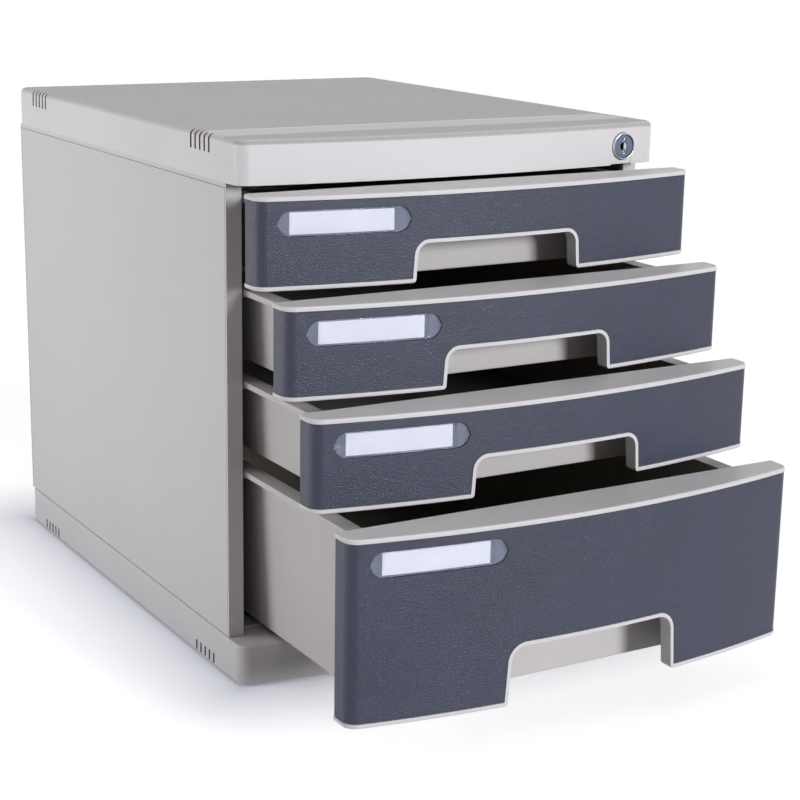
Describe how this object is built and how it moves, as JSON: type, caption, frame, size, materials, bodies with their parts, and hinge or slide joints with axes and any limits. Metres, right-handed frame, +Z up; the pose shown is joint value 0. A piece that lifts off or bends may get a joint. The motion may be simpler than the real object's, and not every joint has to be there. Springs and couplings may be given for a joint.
{
  "type": "desktop file drawer",
  "caption": "Desktop cabinet of stacked sliding drawers with bowed fronts, finger notches, label windows and a cam lock in the lid that bars them all.",
  "frame": {"origin": "on the surface the feet stand on, under the middle of the whole object as posed in the picture", "axes": "+X to the right, the drawer fronts towards -Y, +Z up"},
  "size_m": [0.3076, 0.54, 0.336],
  "materials": {
    "body_plastic": "finely stippled light grey moulding",
    "fascia_plastic": "dark blue-grey with a fine leather-like stipple",
    "runner_plastic": "plain moulding",
    "clear_plastic": "clear",
    "label_card": "bare white card",
    "steel": "zinc plated",
    "chrome": "polished",
    "lock_face": "dark satin plate",
    "foot_rubber": "matt black"
  },
  "bodies": {
    "cabinet": {"top_cover": "body_plastic", "base": "body_plastic", "left_side_panel": "body_plastic", "right_side_panel": "body_plastic", "back_panel": "body_plastic", "left_runner_panel": "runner_plastic", "right_runner_panel": "runner_plastic", "foot_front_left": "foot_rubber", "foot_front_right": "foot_rubber", "foot_rear_left": "foot_rubber", "foot_rear_right": "foot_rubber", "base_screw_front_left": "steel", "base_screw_front_right": "steel", "base_screw_rear_left": "steel", "base_screw_rear_right": "steel", "cover_screw_front_left": "steel", "cover_screw_front_right": "steel", "cover_screw_rear_left": "steel", "cover_screw_rear_right": "steel", "lock_nut": "steel", "lock_barrel": "chrome"},
    "drawer_1": {"drawer_1_tub": "body_plastic", "drawer_1_front": "body_plastic", "drawer_1_fascia": "fascia_plastic", "drawer_1_label_window": "clear_plastic", "drawer_1_label_card": "label_card", "drawer_1_front_screw_left": "steel", "drawer_1_front_screw_right": "steel"},
    "drawer_2": {"drawer_2_tub": "body_plastic", "drawer_2_front": "body_plastic", "drawer_2_fascia": "fascia_plastic", "drawer_2_label_window": "clear_plastic", "drawer_2_label_card": "label_card", "drawer_2_front_screw_left": "steel", "drawer_2_front_screw_right": "steel"},
    "drawer_3": {"drawer_3_tub": "body_plastic", "drawer_3_front": "body_plastic", "drawer_3_fascia": "fascia_plastic", "drawer_3_label_window": "clear_plastic", "drawer_3_label_card": "label_card", "drawer_3_front_screw_left": "steel", "drawer_3_front_screw_right": "steel"},
    "drawer_4": {"drawer_4_tub": "body_plastic", "drawer_4_front": "body_plastic", "drawer_4_fascia": "fascia_plastic", "drawer_4_label_window": "clear_plastic", "drawer_4_label_card": "label_card", "drawer_4_front_screw_left": "steel", "drawer_4_front_screw_right": "steel"},
    "lock_plug": {"lock_plug": "lock_face", "lock_cam": "steel"},
    "lock_bar": {"lock_bar": "steel"}
  },
  "joints": [
    {"name": "drawer_1_slide", "type": "slide", "parent": "cabinet", "child": "drawer_1", "axis": [0, -1, 0], "range_m": [-0.0343, 0.1907]},
    {"name": "drawer_2_slide", "type": "slide", "parent": "cabinet", "child": "drawer_2", "axis": [0, -1, 0], "range_m": [-0.0702, 0.1548]},
    {"name": "drawer_3_slide", "type": "slide", "parent": "cabinet", "child": "drawer_3", "axis": [0, -1, 0], "range_m": [-0.1031, 0.1219]},
    {"name": "drawer_4_slide", "type": "slide", "parent": "cabinet", "child": "drawer_4", "axis": [0, -1, 0], "range_m": [-0.145, 0.08]},
    {"name": "lock_turn", "type": "hinge", "parent": "cabinet", "child": "lock_plug", "pos_m": [0.1207, -0.11, 0.3214], "axis": [0, 1, 0], "range_deg": [0, 90]},
    {"name": "lock_bar_slide", "type": "slide", "parent": "cabinet", "child": "lock_bar", "axis": [0, 0, -1], "range_m": [0, 0.00565]}
  ],
  "couplings": [
    {"joint": "lock_turn", "follows": "lock_bar_slide", "rad_per_m": 277.6}
  ]
}
